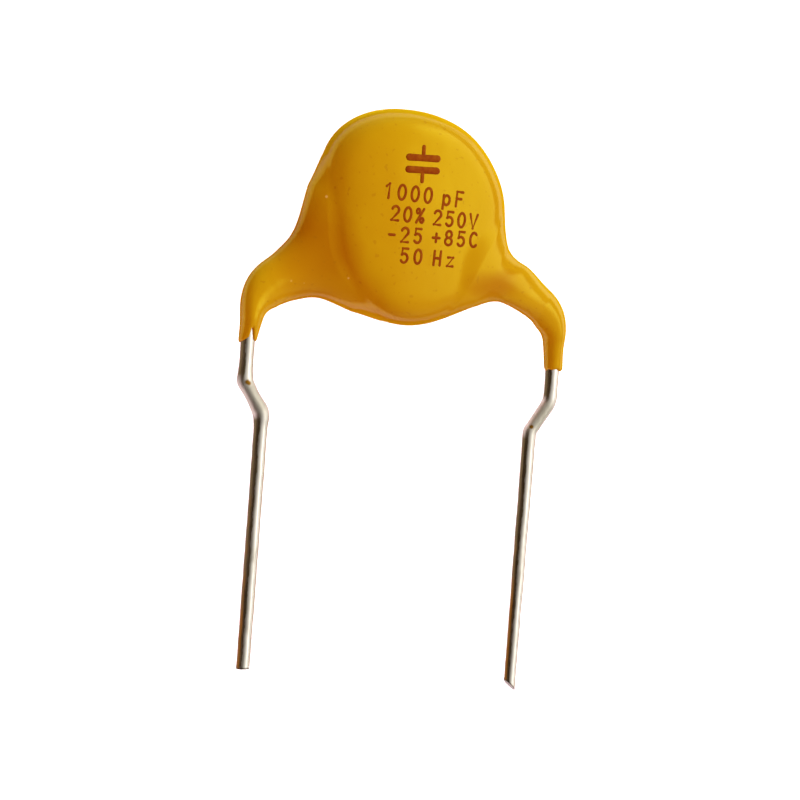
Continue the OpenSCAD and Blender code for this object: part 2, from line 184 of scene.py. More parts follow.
class Disc:
    """The coated disc, a round cake with rounded edges."""

    x = -0.205
    lift = -0.073
    radius = 4.363
    half = 1.4
    # Fall of the front face at the rim, and how many times as much it falls at most outside it
    dome = 0.15
    dome_most = 1.5
    # How much wider the rounding of the edges is on the left
    soft_left = 0.8
    # How gradually a face passes into its rounding, and what is added towards the left
    ease = 0.25
    ease_left = 0.75
    # Waves of the outline: count round the disc, share along X, share along Y
    waves = ((2, -0.138, -0.18), (3, 0.048, 0.117), (4, -0.047, 0.04),
             (5, 0.046, -0.018), (6, -0.013, 0.031), (7, 0.027, 0.001))

    def offsets(self, p):
        """Offsets from the disc's centre along X and Y."""
        return p[..., 0] - self.x, p[..., 1] - self.lift

    def outline(self, u, v):
        """Radius of the outline in the direction of a point."""
        around = np.arctan2(v, u)
        return self.radius + sum(
            a * np.cos(k * around) + b * np.sin(k * around) for k, a, b in self.waves)

    def over_face(self, p):
        """Distance over the slightly domed front face, or under the flat back."""
        u, v = self.offsets(p)
        fall = self.dome * np.minimum((u * u + v * v) / self.radius ** 2, self.dome_most)
        return np.where(p[..., 2] > 0, p[..., 2] + fall, -p[..., 2]) - self.half

    def distance(self, p, edge):
        """Distance from the disc, whose edges are rounded by a radius and softer on the left."""
        u, v = self.offsets(p)
        r = np.hypot(u, v) + TINY
        soft = 1 + self.soft_left * np.clip(-u / r, 0, 1) ** 2
        a = (r - self.outline(u, v)) / soft + edge
        ease = self.ease + self.ease_left * np.clip(self.ease - u / r, 0, 1)
        start = (a + np.hypot(a, ease)) * edge / (edge + np.hypot(edge, ease))
        b = self.over_face(p) + edge
        return np.hypot(start, np.maximum(b, 0)) + np.minimum(np.maximum(a, b), 0) - edge

    def inside_rim(self, p):
        """Distance inside the outline, seen from the front."""
        u, v = self.offsets(p)
        return self.outline(u, v) - np.hypot(u, v)


class Lead:
    """One lead: its bends, and the wing of coat round its upper part.

    The corner, the coat's end, the kink and the tip are given downwards from the disc's centre,
    and the side is 1 on the right and -1 on the left. The outer and inner half widths of the
    wing are keys along the wire, from the coat's end inwards.
    """

    wire_r = 0.3
    # Height of the wire on its electrode, and from its shoulder down
    wire_z = 0.87
    offset = 0.1
    # Distance between the leads below the kinks, and above them
    pitch = 12.5
    shoulder_pitch = 14.24
    # Where the wire starts and where it lifts off its electrode, along X
    start_x = 1.6
    leave_x = 3.4
    leave_bend = 2.0
    kink_h = 1.3
    # Reach of the pressed places at a kink's corners, and of the slanted part between them
    pressed_reach = 0.45
    slanted_reach = 0.85
    # Coat over the wire, its share at the coat's end, and the keys over which it grows by its whole
    cover = 0.2
    cover_share = 0.2
    cover_keys = 1.6
    key_step = 1.2
    # Where a wing starts to sink into the disc, and how steeply
    fade_t = 7.0
    fade_slope = 0.7

    def __init__(self, side, slope, corner, bend, coat_end, kink, tip, kink_bends, cut, pressed, drawn,
                 outer, inner):
        self.side, self.corner, self.bend, self.coat_end = side, corner, bend, coat_end
        self.kink, self.tip, self.kink_bends, self.cut = kink, tip, kink_bends, cut
        self.pressed, self.drawn = pressed, drawn
        self.outer, self.inner = outer, inner
        self.slope = math.radians(slope)
        self.x = self.shoulder_pitch / 2
        self.setback = bend * math.tan((math.pi / 2 - self.slope) / 2)
        self.stub = coat_end - corner - self.setback
        self.arc = bend * (math.pi / 2 - self.slope)

    def place(self, x, y):
        """Distance back from the coat's end, and offset to the outer side of the wire."""
        turn = math.pi / 2 - self.slope
        cos, sin = math.cos(self.slope), math.sin(self.slope)
        ox, oy = self.x - self.bend, -self.corner - self.setback
        ax, ay = self.x - self.setback * cos, -self.corner + self.setback * sin
        along = (ax - x) * cos + (y - ay) * sin
        phi = np.arctan2(y - oy, x - ox)
        run = (along > 0) & ((x < ox) | (phi > turn))
        low = y < oy
        t = np.where(run, self.stub + self.arc + along,
                     np.where(low, y + self.coat_end, self.stub + self.bend * phi))
        d = np.where(run, (x - ax) * sin + (y - ay) * cos,
                     np.where(low, x - self.x, np.hypot(x - ox, y - oy) - self.bend))
        return t, d

    def height(self, t):
        """Height of the wire over the disc's mid-plane."""
        bent = self.stub + self.arc
        rise = (self.wire_z - self.offset) / ((self.x - self.leave_x) / math.cos(self.slope))
        on_arc = self.offset + rise * self.setback * (t - self.stub) / self.arc
        on_run = np.minimum(self.wire_z, self.offset + rise * (self.setback + t - bent))
        return self.side * np.where(t < self.stub, self.offset, np.where(t < bent, on_arc, on_run))

    def wing(self, p):
        """Distance from the wing of coat."""
        t, d = self.place(self.side * p[..., 0], p[..., 1])
        place = t / self.key_step
        across = np.where(d > 0, smooth_keys(self.outer, place), smooth_keys(self.inner, place))
        covered = np.clip(self.cover_share + t / (self.cover_keys * self.key_step), 0, 1)
        thick = self.wire_r + self.cover * covered
        q = np.hypot(d / across, (p[..., 2] - self.height(t)) / thick)
        return (q - 1) * np.minimum(across, thick) + np.maximum(0, t - self.fade_t) * self.fade_slope

    def corners(self):
        """Corners of the wire's centre line, from its soldered end to its tip."""
        def run_y(x):
            return (self.x - x) * math.tan(self.slope) - self.corner
        z, low = self.side * self.wire_z, self.side * self.offset
        points = [
            (self.start_x, run_y(self.start_x), z),
            (self.leave_x, run_y(self.leave_x), z),
            (self.x, -self.corner, low),
            (self.x, -self.kink, low),
            (self.pitch / 2, -self.kink - self.kink_h, low),
            (self.pitch / 2, -self.tip, low),
        ]
        return [Vector((self.side * x, y, z)) for x, y, z in points]

    def thickness(self, p):
        """Share of the wire's thickness at a point: pressed wide in its kink, drawn thin to its tip."""
        kink = Vector((self.side * self.x, -self.kink, self.side * self.offset))
        foot = Vector((self.side * self.pitch / 2, -self.kink - self.kink_h, self.side * self.offset))
        wide = sum(math.exp(-((p - corner).length / self.pressed_reach) ** 2) for corner in (kink, foot))
        return 1 + self.pressed * wide - self.drawn * max(0.0, -p.y - self.kink) / (self.tip - self.kink)

    def slanted(self, p):
        """One on the slanted part of the kink, fading to none on the straight parts."""
        middle = Vector((self.side * (self.x + self.pitch / 2) / 2, -self.kink - self.kink_h / 2,
                         self.side * self.offset))
        return math.exp(-((p - middle).length / self.slanted_reach) ** 4)

    def bends(self):
        """Radii of the wire's bends, from its soldered end to its tip."""
        return (self.leave_bend, self.bend, *self.kink_bends)


DISC = Disc()
FRONT = Lead(
    side=1, slope=27, corner=4.02, bend=1.7, coat_end=6.35, kink=7.66, tip=20.08,
    kink_bends=(0.9, 0.42), cut=40, pressed=0.04, drawn=0.16,
    outer=(0.47, 0.42, 0.64, 0.83, 1.01, 0.81), inner=(0.34, 0.5, 0.79, 0.75, 0.85, 1.12))
BACK = Lead(
    side=-1, slope=25.4, corner=3.63, bend=1.6, coat_end=5.75, kink=7.27, tip=19.2,
    kink_bends=(0.42, 0.9), cut=4, pressed=0.16, drawn=0.04,
    outer=(0.4, 0.39, 0.67, 0.64, 0.68, 1.11), inner=(0.33, 0.61, 0.86, 0.8, 0.86, 1.52))

# Direction to the right in the camera's view, level with the leads
VIEW_RIGHT = (0.889, 0.0, 0.458)

# Edge of the coat's ragged end: angle round the wire, and how far the edge draws back
RAGGED_AROUND = (-3.14, -1.57, -0.6, 0.2, 0.34, 0.5, 0.66, 0.85, 1.3, 3.14)
RAGGED_BARE = (0.1, 0.03, 0.14, 0.31, 0.6, 0.85, 0.55, 0.22, 0.12, 0.1)


def end_distance(lead, p):
    """Distance past the coat's end, which is even on the front lead and ragged on the back one."""
    u = p[..., 0] - lead.side * lead.x
    w = p[..., 2] - lead.side * lead.offset
    cos, _, sin = VIEW_RIGHT
    around = np.arctan2(u * cos + w * sin, w * cos - u * sin)
    if lead is BACK:
        bare = np.interp(around, RAGGED_AROUND, RAGGED_BARE)
    else:
        bare = 0.03 * (1 + np.sin(2 * around + 1)) + 0.05 * np.sin(3 * around) ** 2
    return bare - (p[..., 1] + lead.coat_end)


# Directions from the disc's centre to the roots of the wings, and height of the left root
LEFT_ROOT = (-0.97, -0.25)
RIGHT_ROOT = (0.94, -0.34)
LEFT_ROOT_Z = -0.1
# How much wider the fillets are at each root
WIDER_LEFT = 2.2
WIDER_RIGHT = 0.7
# How far inside the outline the fillets fade, how much further at the right root, and what share stays
FADE_INSIDE = 2.9
FADE_RIGHT = 0.8
LEAST_FILLET = 0.08
# Rounding where the faces trim the wings, and round the coat's ends
FACE_BLEND = 0.45
END_BLEND = 0.12
# Box that holds the whole coat
COAT_LOW = (-8, -6.6, -1.6)
COAT_HIGH = (8, 4.6, 1.6)


def coat_distance(p, edge, fillet):
    """Distance from the whole coat, negative inside."""
    body = DISC.distance(p, edge)
    right = p[..., 0] > DISC.x
    u, v = DISC.offsets(p)
    r = np.hypot(u, v) + TINY
    left_root = np.clip((LEFT_ROOT[0] * u + LEFT_ROOT[1] * v) / r, 0, 1) ** 2
    left_root = left_root * np.exp(-(p[..., 2] - LEFT_ROOT_Z) ** 2)
    right_root = np.clip((RIGHT_ROOT[0] * u + RIGHT_ROOT[1] * v) / r, 0, 1) ** 2
    fade = FADE_INSIDE + FADE_RIGHT * right_root
    inside = np.clip(1 - DISC.inside_rim(p) / fade, LEAST_FILLET, 1)
    reach = inside * fillet * (1 + WIDER_LEFT * left_root + WIDER_RIGHT * right_root)
    wing = np.where(right, FRONT.wing(p), BACK.wing(p))
    whole = blend(body, wing, reach)
    whole = -blend(-whole, -DISC.over_face(p), FACE_BLEND)
    past = np.where(right, end_distance(FRONT, p), end_distance(BACK, p))
    return -blend(-whole, -past, END_BLEND)


def net_over(distance, low, high, step):
    """Quads over the zero level of a distance, one vertex in each cell that it crosses."""
    axes = [np.arange(a, b + step, step) for a, b in zip(low, high)]
    inside = distance(np.stack(np.meshgrid(*axes, indexing="ij"), -1)) < 0
    count = np.zeros([n - 1 for n in inside.shape], np.int8)
    for i in (0, 1):
        for j in (0, 1):
            for k in (0, 1):
                count += inside[i:i + count.shape[0], j:j + count.shape[1], k:k + count.shape[2]]
    mixed = (count > 0) & (count < 8)
    number = np.full(count.shape, -1)
    number[mixed] = np.arange(mixed.sum())
    points = np.stack([axes[a][c] for a, c in enumerate(np.nonzero(mixed))], -1) + step / 2
    quads = []
    for axis in range(3):
        order = (axis, (axis + 1) % 3, (axis + 2) % 3)
        solid, cell = inside.transpose(order), number.transpose(order)
        a, b = solid[:-1, 1:-1, 1:-1], solid[1:, 1:-1, 1:-1]
        for leaving in (True, False):
            i, j, k = np.nonzero((a & ~b) if leaving else (b & ~a))
            ring = [cell[i, j, k], cell[i, j + 1, k], cell[i, j + 1, k + 1], cell[i, j, k + 1]]
            quads.append(np.stack(ring if leaving else ring[::-1], -1))
    return points, np.concatenate(quads)


def settle(points, distance, rounds):
    """Moves points onto the zero level of a distance, by Newton steps."""
    probe = 1e-3
    longest = 0.1
    least_slope = 0.05
    for _ in range(rounds):
        slope = np.stack([
            (distance(points + aside) - distance(points - aside)) / (2 * probe)
            for aside in probe * np.eye(3)], -1)
        size = np.maximum((slope ** 2).sum(-1, keepdims=True), least_slope)
        points = points - np.clip(distance(points)[:, None] * slope / size, -longest, longest)
    return points


def relax(points, quads):
    """Each point halfway to the middle of its neighbours."""
    total, count = np.zeros_like(points), np.zeros(len(points))
    for a, b in ((0, 1), (1, 2), (2, 3), (3, 0)):
        np.add.at(total, quads[:, a], points[quads[:, b]])
        np.add.at(total, quads[:, b], points[quads[:, a]])
        np.add.at(count, quads[:, a], 1)
        np.add.at(count, quads[:, b], 1)
    return (points + total / count[:, None]) / 2


def to_metres(points):
    """Points about the disc's centre in millimetres, as places in metres."""
    return np.asarray(points) * MM + np.array(CENTRE)


# ---------------------------------------------------------------- node helpers


class Nodes:
    """Short calls for building one node tree."""

    def __init__(self, tree):
        self.tree = tree

    def add(self, kind, inputs=None, **settings):
        node = self.tree.nodes.new(kind)
        for name, value in settings.items():
            setattr(node, name, value)
        self.give(node, inputs or {})
        return node

    def give(self, node, inputs):
        """Links sockets to a node's inputs, and sets plain values on them."""
        for key, value in inputs.items():
            if isinstance(value, bpy.types.NodeSocket):
                self.tree.links.new(value, node.inputs[key])
            else:
                node.inputs[key].default_value = value

    def math(self, operation, *values):
        return self.add("ShaderNodeMath", dict(enumerate(values)), operation=operation).outputs[0]

    def vector(self, operation, *values):
        return self.add("ShaderNodeVectorMath", dict(enumerate(values)), operation=operation).outputs[0]

    def dot(self, a, b):
        return self.add("ShaderNodeVectorMath", {0: a, 1: b}, operation="DOT_PRODUCT").outputs["Value"]

    def length(self, vector):
        return self.add("ShaderNodeVectorMath", {0: vector}, operation="LENGTH").outputs["Value"]

    def scale(self, vector, share):
        return self.add("ShaderNodeVectorMath", {0: vector, "Scale": share}, operation="SCALE").outputs[0]

    def split(self, vector):
        return self.add("ShaderNodeSeparateXYZ", {0: vector}).outputs

    def stretch(self, where, scale):
        return self.add("ShaderNodeMapping", {"Vector": where, "Scale": scale}).outputs[0]

    def noise(self, where, scale, detail, rough):
        inputs = {"Vector": where, "Scale": scale, "Detail": detail, "Roughness": rough}
        return self.add("ShaderNodeTexNoise", inputs).outputs["Fac"]

    def sweep(self, path, share, radius, sides):
        """Closed round tube along a path, as wide at each point as its share says."""
        circle = self.add("GeometryNodeCurvePrimitiveCircle", {"Resolution": sides, "Radius": radius})
        return self.add("GeometryNodeCurveToMesh", {
            "Curve": self.add("GeometryNodeMeshToCurve", {"Mesh": path}).outputs[0],
            "Profile Curve": circle.outputs[0], "Scale": share, "Fill Caps": True}).outputs[0]

    def stored(self, name):
        """Number that a geometry tree's mesh holds under a name."""
        return self.add("GeometryNodeInputNamedAttribute", {"Name": name}, data_type="FLOAT").outputs[0]

    def store(self, geometry, name, value):
        inputs = {"Geometry": geometry, "Name": name, "Value": value}
        return self.add("GeometryNodeStoreNamedAttribute", inputs, data_type="FLOAT",
                        domain="POINT").outputs[0]

    def attribute(self, name):
        """Number that a piece's mesh holds under a name, for its material."""
        return self.add("ShaderNodeAttribute", attribute_name=name).outputs["Fac"]

    def finish(self, geometry, material, result):
        """Ends a geometry tree: real meshes, with their material."""
        whole = self.add("GeometryNodeRealizeInstances", {"Geometry": geometry}).outputs[0]
        done = self.add("GeometryNodeSetMaterial", {"Geometry": whole, "Material": material})
        self.tree.links.new(done.outputs[0], result.inputs[0])

    def span(self, value, low, high, to_low=0.0, to_high=1.0):
        inputs = {"Value": value, "From Min": low, "From Max": high, "To Min": to_low, "To Max": to_high}
        return self.add("ShaderNodeMapRange", inputs, clamp=True).outputs[0]

    def mix(self, factor, a, b):
        """Colour between two others."""
        return self.add("ShaderNodeMix", {0: factor, 6: a, 7: b}, data_type="RGBA").outputs[2]


def shader(name):
    """A new material, as (material, its nodes, its shader, object coordinates)."""
    material = bpy.data.materials.new(name)
    material.use_nodes = True
    nodes = Nodes(material.node_tree)
    principled = material.node_tree.nodes["Principled BSDF"]
    where = nodes.add("ShaderNodeTexCoord").outputs["Object"]
    return material, nodes, principled, where


def rgba(colour):
    return (*colour, 1.0)


def bump(nodes, principled, height, distance, strength=1.0):
    inputs = {"Height": height, "Distance": distance, "Strength": strength}
    nodes.give(principled, {"Normal": nodes.add("ShaderNodeBump", inputs).outputs[0]})


def piece(name, points, faces, material, edges=()):
    """A new object at the origin from points in metres."""
    mesh = bpy.data.meshes.new(name)
    mesh.from_pydata([tuple(p) for p in points], [tuple(e) for e in edges], [tuple(f) for f in faces])
    mesh.materials.append(material)
    mesh.validate()
    thing = bpy.data.objects.new(name, mesh)
    bpy.context.scene.collection.objects.link(thing)
    return thing


def give_attribute(thing, name, values):
    """Stores one number on each point of an object's mesh."""
    thing.data.attributes.new(name, "FLOAT", "POINT").data.foreach_set("value", values)


def apply_tree(thing, tree, inputs, material):
    """Runs a geometry tree on an object and leaves it a plain mesh."""
    modifier = thing.modifiers.new("Build", "NODES")
    modifier.node_group = tree
    sockets = {s.name: s.identifier for s in tree.interface.items_tree if s.in_out == "INPUT"}
    for name, value in inputs.items():
        modifier[sockets[name]] = value
    bpy.context.view_layer.update()
    evaluated = thing.evaluated_get(bpy.context.evaluated_depsgraph_get())
    mesh = bpy.data.meshes.new_from_object(evaluated)
    thing.modifiers.remove(modifier)
    thing.data = mesh
    mesh.materials.clear()
    mesh.materials.append(material)
    return thing


def new_tree(name, sockets):
    """A geometry tree with named inputs, as (tree, nodes, its inputs, its output)."""
    tree = bpy.data.node_groups.new(name, "GeometryNodeTree")
    tree.interface.new_socket("Geometry", in_out="INPUT", socket_type="NodeSocketGeometry")
    for label, kind in sockets:
        tree.interface.new_socket(label, in_out="INPUT", socket_type=kind)
    tree.interface.new_socket("Geometry", in_out="OUTPUT", socket_type="NodeSocketGeometry")
    nodes = Nodes(tree)
    return tree, nodes, nodes.add("NodeGroupInput").outputs, nodes.add("NodeGroupOutput")


# -------------------------------------------------------------------- finishes


# Colours of dust in the coat and of painted glints on it, and tints of its gloss and sheen
DUST = (0.2, 0.08, 0.002, 1)
PAINTED_GLINT = (0.5, 0.36, 0.09, 1)
GLOSS_TINT = (0.9, 1.0, 0.03, 1)
SHEEN_TINT = (1.0, 0.85, 0.02, 1)

# Colours of the tin where it isn't bright: painted shade on the kink's slant, the old stain, the paler
# colour of the painted line and streaks on the right side, brown spots in the kinks, and the cut face
SLANT_SHADE_TIN = (0.46, 0.42, 0.36, 1)
OLD_STAIN = (0.12, 0.055, 0.008, 1)
PALE_STAIN_AND_RIGHT_REFLECTION = (0.22, 0.17, 0.1, 1)
KINK_BROWN = (0.22, 0.1, 0.01, 1)
CUT_FACE = (0.06, 0.034, 0.01, 1)

# Colour that the ink takes on where it is thin
THIN_INK = (0.26, 0.1, 0.002)

# Finishes inside the coat: light tone, dark tone, grains to the metre, roughness, metal
INNER_FINISHES = {
    "fired_ceramic": ((0.55, 0.4, 0.25), (0.45, 0.31, 0.18), 2400, 0.75, 0.0),
    "fired_silver": ((0.8, 0.79, 0.76), (0.66, 0.65, 0.62), 3600, 0.5, 1.0),
    "solder": ((0.6, 0.6, 0.6), (0.45, 0.45, 0.46), 1800, 0.35, 1.0),
}

# Middle and reach of the two places of painted shade: darker, more orange epoxy on the left flank and in
# the recesses at the leads' roots
ROOT_SHADE_PLACES = (((-4.5, -1.7, 0.0), (2.8, 2.9, 2.8)), ((3.3, -2.7, 0.9), (2.2, 1.0, 1.2)))

# Painted glints, small pale spots on the coat: place and radius
GLINT_SPOTS = (((-5.55, -3.04, 0.25), 0.045), ((-4.83, -3.01, 0.25), 0.035), ((-4.95, -3.1, 0.25), 0.03),
          ((-3.13, -2.81, 0.69), 0.035), ((-4.31, 0.49, 0.47), 0.035), ((-3.27, -1.89, 1.0), 0.03))

# Brown spots in the kinks: place and radius
KINK_SPOTS = (((-7.15, -7.28, 0.2), 0.07), ((-7.07, -7.33, 0.2), 0.06), ((6.2, -8.72, 0.35), 0.06))

# How far below the disc's centre the old stain starts and is full, and how far its edge wanders
STAIN_TOP = 13
STAIN_FULL = 17
STAIN_WANDER = 2


def spot(nodes, where, middle, radius):
    """One inside a small round place, fading to none at twice its radius."""
    away = nodes.length(nodes.vector("SUBTRACT", where, CENTRE + Vector(middle) * MM))
    return nodes.span(away, radius * MM, 2 * radius * MM, 1.0, 0.0)


def epoxy_material(settings):
    """Glossy dipped epoxy, ochre with darker orange clouds, painted shade at the leads' roots, fine dust
    and painted glints.
    """
    material, nodes, principled, where = shader("dipped_epoxy")
    clouds = nodes.noise(where, 260, 3, 0.55)
    fine = nodes.noise(where, 2600, 2, 0.6)
    amber_and_shade = nodes.span(clouds, 0.35, 0.72, 0.0, 0.35)
    # Painted shade: darker, more orange epoxy towards the leads' roots, on the left flank and in the
    # recesses
    for middle, reach in ROOT_SHADE_PLACES:
        offset = nodes.vector("SUBTRACT", where, CENTRE + Vector(middle) * MM)
        away = nodes.length(nodes.vector("DIVIDE", offset, Vector(reach) * MM))
        ragged = nodes.math("ADD", away, nodes.span(clouds, 0.3, 0.7, -0.15, 0.15))
        near = nodes.add("ShaderNodeMapRange", {
            "Value": ragged, "From Min": 0.25, "From Max": 1.1, "To Min": 0.95, "To Max": 0.0},
            interpolation_type="SMOOTHSTEP").outputs[0]
        amber_and_shade = nodes.math("MAXIMUM", amber_and_shade, near)
    colour = nodes.mix(amber_and_shade, rgba(settings.ochre), rgba(settings.amber_and_shade))
    speck = nodes.span(nodes.noise(where, 5200, 0, 0.5), 0.74, 0.8, 0.0, 0.35)
    colour = nodes.mix(speck, colour, DUST)
    # Painted glints: small pale spots mixed into the coat's colour
    for middle, radius in GLINT_SPOTS:
        grain_and_glint = nodes.math("MULTIPLY", spot(nodes, where, middle, radius), 0.6)
        colour = nodes.mix(grain_and_glint, colour, PAINTED_GLINT)
    facing = nodes.add("ShaderNodeLayerWeight", {"Blend": 0.5}).outputs["Facing"]
    nodes.give(principled, {
        "Base Color": colour,
        "Roughness": nodes.span(fine, 0.3, 0.7, 0.1, 0.16),
        "Specular IOR Level": nodes.span(facing, 0.3, 0.52, 0.5, 0.0),
        "Specular Tint": GLOSS_TINT,
        "Sheen Weight": 0.25,
        "Sheen Roughness": 0.35,
        "Sheen Tint": SHEEN_TINT,
    })
    waves = nodes.noise(where, 420, 2, 0.5)
    height = nodes.math("ADD", waves, nodes.math("MULTIPLY", fine, 0.12))
    bump(nodes, principled, height, 0.05 * MM, 0.5)
    return material


def tin_material(settings):
    """Tinned wire: bright, with a painted dark reflection on its left side and a painted dark line along
    its right edge, dulled streaks, matt and painted darker on the kink's slant, and brown towards its tip.

    Its attributes say where a place lies: side from -1 at the left to 1 at the right in the
    camera's view, slanted on the slant of the kink, cut on the face at the tip.
    """
    material, nodes, principled, where = shader("tinned_wire")
    along = nodes.stretch(where, (1.0, 0.12, 1.0))
    streaks = nodes.noise(along, 3200, 3, 0.6)
    patches = nodes.noise(where, 900, 2, 0.5)
    side, slanted, cut = map(nodes.attribute, ("side", "slanted", "cut"))
    notches = nodes.noise(nodes.stretch(where, (1.0, 0.45, 1.0)), 2600, 3, 0.6)
    wavy = nodes.math("ADD", side, nodes.span(notches, 0.3, 0.7, -0.16, 0.16))
    # Painted dark reflections: a broad band on the wire's left side and a line along its right edge in the
    # camera's view, fainter on the kink's slant
    left = nodes.math("MULTIPLY", nodes.span(side, -0.97, -0.9), nodes.span(wavy, -0.16, -0.08, 1.0, 0.0))
    left = nodes.math("MULTIPLY", left, nodes.span(slanted, 0.1, 0.8, 1.0, 0.15))
    right = nodes.math("MULTIPLY", nodes.span(side, 0.76, 0.86), nodes.span(slanted, 0.1, 0.8, 1.0, 0.3))
    dull_and_reflection = nodes.math("MULTIPLY", nodes.span(streaks, 0.5, 0.75), nodes.span(patches, 0.45, 0.7))
    dull_and_reflection = nodes.math("MAXIMUM", nodes.math("MAXIMUM", left, right), dull_and_reflection)
    # Painted shade: the kink's slant is coloured darker grey; the roughness added there is its matt finish
    matt = nodes.mix(nodes.span(slanted, 0.2, 0.9), rgba(settings.tin), SLANT_SHADE_TIN)
    wander = nodes.span(patches, 0.3, 0.7, -STAIN_WANDER * MM, STAIN_WANDER * MM)
    old = nodes.span(nodes.math("ADD", nodes.split(where)["Y"], wander),
                     CENTRE.y - STAIN_FULL * MM, CENTRE.y - STAIN_TOP * MM, 1.0, 0.0)
    stain_and_reflection = nodes.mix(old, rgba(settings.tarnish_and_reflection), OLD_STAIN)
    # Painted light: the dulled colour turns paler where the wire faces the camera's right
    stain_and_reflection = nodes.mix(nodes.span(side, -0.5, -0.35), stain_and_reflection, PALE_STAIN_AND_RIGHT_REFLECTION)
    colour = nodes.mix(dull_and_reflection, matt, stain_and_reflection)
    # Brown spots in the kinks
    for middle, radius in KINK_SPOTS:
        colour = nodes.mix(spot(nodes, where, middle, radius), colour, KINK_BROWN)
    colour = nodes.mix(nodes.span(cut, 0.3, 0.9), colour, CUT_FACE)
    rough = nodes.math("ADD", nodes.span(streaks, 0.3, 0.7, 0.27, 0.4), nodes.span(slanted, 0, 1, 0.0, 0.2))
    nodes.give(principled, {"Base Color": colour, "Metallic": 1.0, "Roughness": rough})
    lumps = nodes.noise(along, 1500, 2, 0.5)
    bump(nodes, principled, lumps, 0.03 * MM, 0.6)
    return material


def ink_material(settings):
    """Thin red-brown ink, a little uneven."""
    material, nodes, principled, where = shader("brown_ink")
    uneven = nodes.span(nodes.noise(where, 4200, 3, 0.6), 0.35, 0.75)
    pale = tuple(0.65 * c + 0.35 * d for c, d in zip(settings.ink, THIN_INK))
    nodes.give(principled, {
        "Base Color": nodes.mix(uneven, rgba(settings.ink), rgba(pale)),
        "Roughness": nodes.span(uneven, 0, 1, 0.5, 0.65),
        "Specular IOR Level": 0.15,
        "Specular Tint": (1.0, 0.5, 0.05, 1),
    })
    return material


def inner_material(name):
    """Finish of a piece inside the coat: two tones of grain."""
    light, dark, scale, rough, metallic = INNER_FINISHES[name]
    material, nodes, principled, where = shader(name)
    grain_and_glint = nodes.noise(where, scale, 3, 0.6)
    nodes.give(principled, {
        "Base Color": nodes.mix(grain_and_glint, rgba(light), rgba(dark)),
        "Roughness": nodes.span(grain_and_glint, 0.3, 0.7, rough - 0.08, rough + 0.08),
        "Metallic": metallic,
    })
    bump(nodes, principled, grain_and_glint, 0.01 * MM)
    return material


def floor_material():
    """Pale matt card with a faint green glow, which evens out the pink of the warm lamp."""
    material, nodes, principled, where = shader("pale_card")
    grain_and_glint = nodes.noise(where, 900, 3, 0.6)
    nodes.give(principled, {
        "Base Color": nodes.mix(grain_and_glint, (0.93, 0.93, 0.93, 1), (0.97, 0.97, 0.97, 1)),
        "Roughness": 0.9,
        "Specular IOR Level": 0.1,
        "Emission Color": (0.6, 1.0, 0.75, 1),
        "Emission Strength": 0.3,
    })
    return material


# ------------------------------------------------------------------ the pieces


class CAPACITOR_OT_coat(bpy.types.Operator):
    """Make the dipped epoxy coat as one closed skin"""

    bl_idname = "capacitor.coat"
    bl_label = "Epoxy Coat"

    def execute(self, context):
        settings = context.scene.capacitor_coat
        step = settings.mesh_step / MM

        def distance(p):
            return coat_distance(p, settings.edge_round / MM, settings.fillet / MM)

        points, quads = net_over(distance, COAT_LOW, COAT_HIGH, step)
        points = settle(points, distance, 3)
        for _ in range(2):
            points = settle(relax(points, quads), distance, 2)
        coat = piece("coat", to_metres(points), quads, epoxy_material(settings))
        coat.data.shade_smooth()
        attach(coat, BODY)
        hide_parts("epoxy_coat")
        return {"FINISHED"}


# Steps of a wire's path: angle round a bend, and length along it
TURN_STEP = math.radians(3)
PATH_STEP = 0.15

# How far over its tip a wire still counts as the face of the cut, and how far up the cut shears it
CUT_DEPTH = 0.07 * MM
CUT_REACH = 1.2 * MM


def wire_path(lead):
    """Points of a lead's centre line, with its corners rounded."""
    corners = lead.corners()
    path = [corners[0]]
    for a, b, c, r in zip(corners, corners[1:], corners[2:], lead.bends()):
        u, v = (b - a).normalized(), (c - b).normalized()
        n = (v - v.dot(u) * u).normalized()
        turn = u.angle(v)
        middle = b - u * r * math.tan(turn / 2) + n * r
        steps = math.ceil(turn / TURN_STEP)
        for i in range(steps + 1):
            phi = turn * i / steps
            path.append(middle + r * (u * math.sin(phi) - n * math.cos(phi)))
    path.append(corners[-1])
    finer = []
    for a, b in zip(path, path[1:]):
        steps = max(1, math.ceil((b - a).length / PATH_STEP))
        finer += [a.lerp(b, i / steps) for i in range(steps)]
    return finer + [path[-1]]


